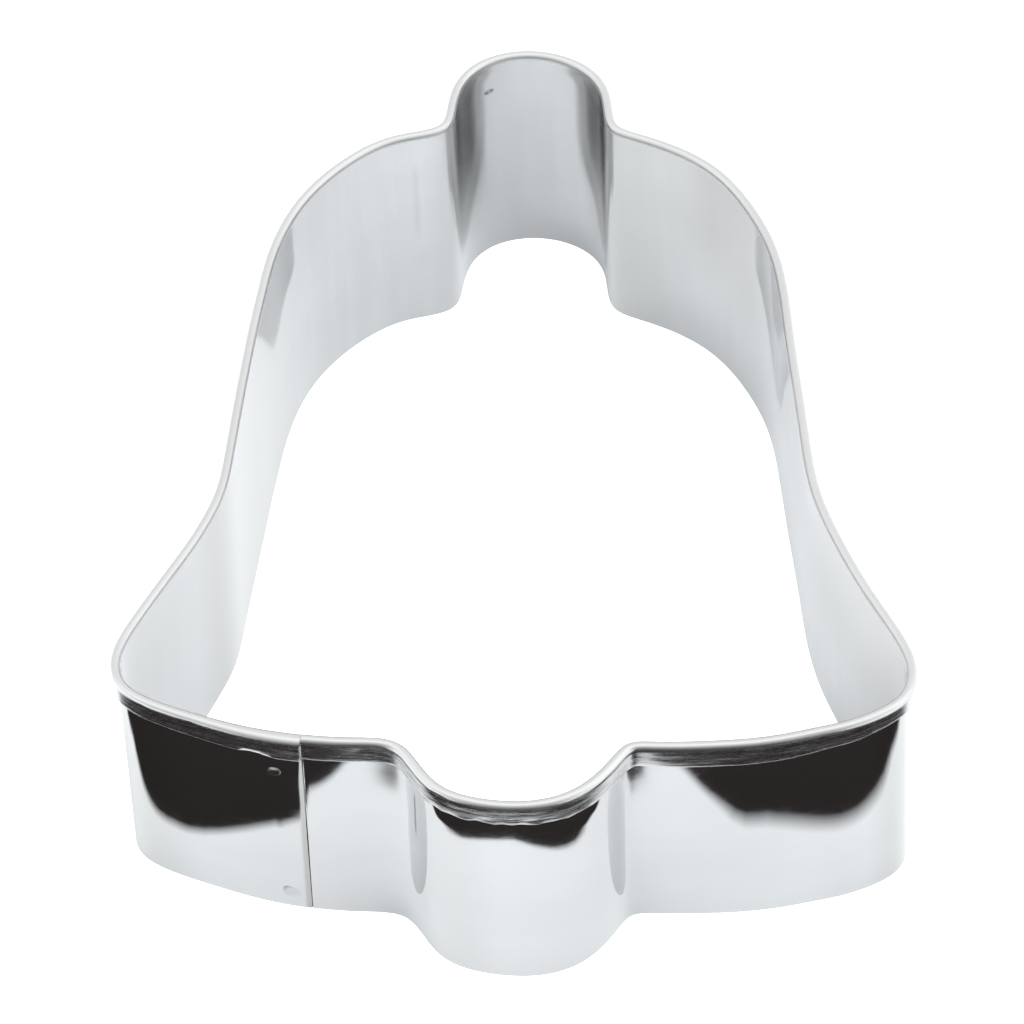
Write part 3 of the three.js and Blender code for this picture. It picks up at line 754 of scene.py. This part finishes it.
# black studio card lying in front of the cutter; it shows only in the metal
EDGE_LINE = np.array([  # x, y, width of its soft edge, mm
    (-75, -60, 16.0), (-64, -42, 11.0), (-55, -31, 7.0), (-49.5, -25.6, 3.0), (-46.9, -23.6, 1.2), (-46.3, -25.4, 0.9), (-45.6, -27.2, 0.8), (-44.8, -28.2, 0.8), (-43.7, -28.9, 0.7), (-42.6, -29.7, 0.7), (-41.5, -30.3, 0.7),
    (-40.3, -30.9, 0.7), (-39.0, -31.6, 0.6), (-36.5, -32.8, 0.6), (-34.0, -34.1, 0.6), (-32.2, -34.9, 0.6), (-30.9, -35.8, 0.6), (-29.7, -36.9, 0.6),
    (-28.4, -38.2, 0.6), (-26.9, -39.6, 0.6), (-25.4, -41.0, 0.6), (-24.2, -42.3, 0.6), (-23.2, -43.5, 0.6), (-22.3, -44.6, 0.6), (-21.2, -45.8, 0.6),
    (-20.0, -47.0, 0.5), (-18.6, -48.5, 0.5), (-16.8, -50.3, 0.4), (-14.9, -51.7, 0.35), (-12.7, -53.2, 0.2), (-10.7, -54.5, 0.2), (-8.7, -55.5, 0.2), (-6.8, -56.3, 0.2),
    (-4.9, -56.9, 0.2), (-2.8, -57.4, 0.2), (-0.6, -57.6, 0.2), (1.7, -57.3, 0.2), (4.1, -56.7, 0.3), (6.5, -55.9, 0.35), (9.0, -54.7, 0.4), (11.5, -53.1, 0.45), (13.9, -51.3, 0.5),
    (16.2, -49.15, 0.5), (17.7, -47.45, 0.55), (19.0, -46.2, 0.7), (20.4, -44.9, 0.95), (21.7, -44.2, 1.1), (24.6, -43.6, 1.2), (27.3, -42.3, 1.2), (29.5, -41.0, 1.2), (32.3, -39.7, 1.2),
    (35.7, -38.1, 1.2), (38.7, -36.8, 1.2), (41.0, -35.8, 1.2), (43.9, -34.4, 1.2), (45.3, -33.4, 1.1), (46.6, -31.5, 1.0), (47.7, -28.8, 1.0), (48.6, -27.0, 1.6), (51.0, -27.6, 4.0), (57, -33, 7.0), (66, -44, 11.0), (77, -62, 16.0),
])
edge, soft = EDGE_LINE[:, :2], EDGE_LINE[:, 2:]
tang = np.gradient(edge, axis=0)
tang /= np.linalg.norm(tang, axis=1)[:, None]
away = np.stack([tang[:, 1], -tang[:, 0]], 1)
spread = np.linspace(-1, 1, len(edge))
rows_ = [edge - away * soft * 1.25, edge - away * soft * 0.35, edge + away * soft * 0.5]
rows_ += [np.stack([spread * half_width, np.full(len(edge), y)], 1) for half_width, y in ((84, -95.0), (90, -150.0), (160, -300.0), (1500, -3000.0))]
fade = [0.0, 0.5, 1.0, 1.0, 1.0, 1.0, 1.0]
far_off = [0.0, 0.0, 0.0, 0.14, 0.5, 0.78, 1.0]
n_e = len(edge)
card_v = np.concatenate([np.concatenate([r, np.full((n_e, 1), 0.05)], 1) for r in rows_]) * MM
card_f = [(k * n_e + i, (k + 1) * n_e + i, (k + 1) * n_e + i + 1, k * n_e + i + 1) for k in range(len(rows_) - 1) for i in range(n_e - 1)]
mat, t = new_material("flag_black")
out = t.nodes.new("ShaderNodeOutputMaterial")
dif = t.nodes.new("ShaderNodeBsdfDiffuse")
paler = t.nodes.new("ShaderNodeMix")
paler.data_type = "RGBA"
paler.inputs["A"].default_value = (0.020, 0.017, 0.017, 1)
paler.inputs["B"].default_value = (0.105, 0.102, 0.10, 1)
t.links.new(attr(t, "far_off"), paler.inputs["Factor"])
t.links.new(paler.outputs["Result"], dif.inputs["Color"])
clear = t.nodes.new("ShaderNodeBsdfTransparent")
mx = t.nodes.new("ShaderNodeMixShader")
t.links.new(attr(t, "fade"), mx.inputs[0])
t.links.new(clear.outputs[0], mx.inputs[1])
t.links.new(dif.outputs[0], mx.inputs[2])
t.links.new(mx.outputs[0], out.inputs[0])
card = stage_mesh("black_card", card_v.tolist(), card_f, mat)
fa = card.data.attributes.new("fade", "FLOAT", "POINT")
fa.data.foreach_set("value", np.repeat(np.array(fade, np.float32), n_e))
fb = card.data.attributes.new("far_off", "FLOAT", "POINT")
fb.data.foreach_set("value", np.repeat(np.array(far_off, np.float32), n_e))
card.visible_camera = card.visible_diffuse = card.visible_shadow = card.visible_transmission = card.visible_volume_scatter = False

# soft white room, darker low down on the side of the camera
world = bpy.data.worlds.new("studio")
bpy.context.scene.world = world
world.use_nodes = True
wt = world.node_tree
wt.nodes.clear()
w_out = wt.nodes.new("ShaderNodeOutputWorld")
w_dir = wt.nodes.new("ShaderNodeSeparateXYZ")
wt.links.new(node(wt, "ShaderNodeTexCoord").outputs["Generated"], w_dir.inputs[0])
w_x, w_y, w_z = w_dir.outputs
w_ramp = wt.nodes.new("ShaderNodeValToRGB")
wt.links.new(math_node(wt, "MULTIPLY_ADD", w_y, -0.5), w_ramp.inputs[0])
w_ramp.inputs[0].links[0].from_node.inputs[2].default_value = 0.5
SKY = [(0.0, 1.05), (0.25, 1.14), (0.5, 1.42), (0.67, 1.36), (0.82, 1.0), (0.93, 0.62), (0.985, 0.32), (1.0, 0.22)]
while len(w_ramp.color_ramp.elements) < len(SKY):
    w_ramp.color_ramp.elements.new(0.5)
for e, (pos, v) in zip(w_ramp.color_ramp.elements, SKY):
    e.position = pos
    e.color = (v / 1.5, v / 1.5, v / 1.5, 1)
level = math_node(wt, "MULTIPLY", w_ramp.outputs[0], math_node(wt, "ADD", math_node(wt, "MULTIPLY", w_x, 0.12), 1.5))
# the camera itself sees plain white behind the table
seen = node(wt, "ShaderNodeLightPath").outputs["Is Camera Ray"]
level = math_node(wt, "MAXIMUM", level, math_node(wt, "MULTIPLY", seen, 1.1))
w_bg = wt.nodes.new("ShaderNodeBackground")
wt.links.new(level, w_bg.inputs["Strength"])
w_bg.inputs["Color"].default_value = (1, 1, 1, 1)
wt.links.new(w_bg.outputs[0], w_out.inputs[0])

key = bpy.data.lights.new("softbox", "AREA")
key.shape = "RECTANGLE"
key.size, key.size_y = 0.7, 0.6
key.energy = 8.0
key_ob = bpy.data.objects.new("softbox", key)
bpy.context.scene.collection.objects.link(key_ob)
key_ob.location = (0.22, -0.46, 1.0)
key_ob.visible_glossy = False
key_ob.rotation_euler = (Vector((0, 0, 0)) - Vector(key_ob.location)).to_track_quat("-Z", "Y").to_euler()

# ---------------------------------------------------------------- camera
cam_data = bpy.data.cameras.new("camera")
cam = bpy.data.objects.new("camera", cam_data)
bpy.context.scene.collection.objects.link(cam)
X, Y, F = Vector((0.999474, 0.023386, -0.022459)), Vector((-0.004732, 0.790460, 0.612495)), Vector((-0.032077, 0.612067, -0.790155))
mat4 = Matrix((X, Y, -F)).transposed().to_4x4()
mat4.translation = Vector((0.021502, -0.429106, 0.565529))
cam.matrix_world = mat4
cam_data.sensor_fit = "HORIZONTAL"
cam_data.sensor_width = 36.0
cam_data.lens = 36.0 * 8000 / 1024
cam_data.clip_start, cam_data.clip_end = 0.01, 30.0
bpy.context.scene.camera = cam

bpy.context.scene.view_settings.view_transform = "Standard"
bpy.context.scene.view_settings.look = "None"
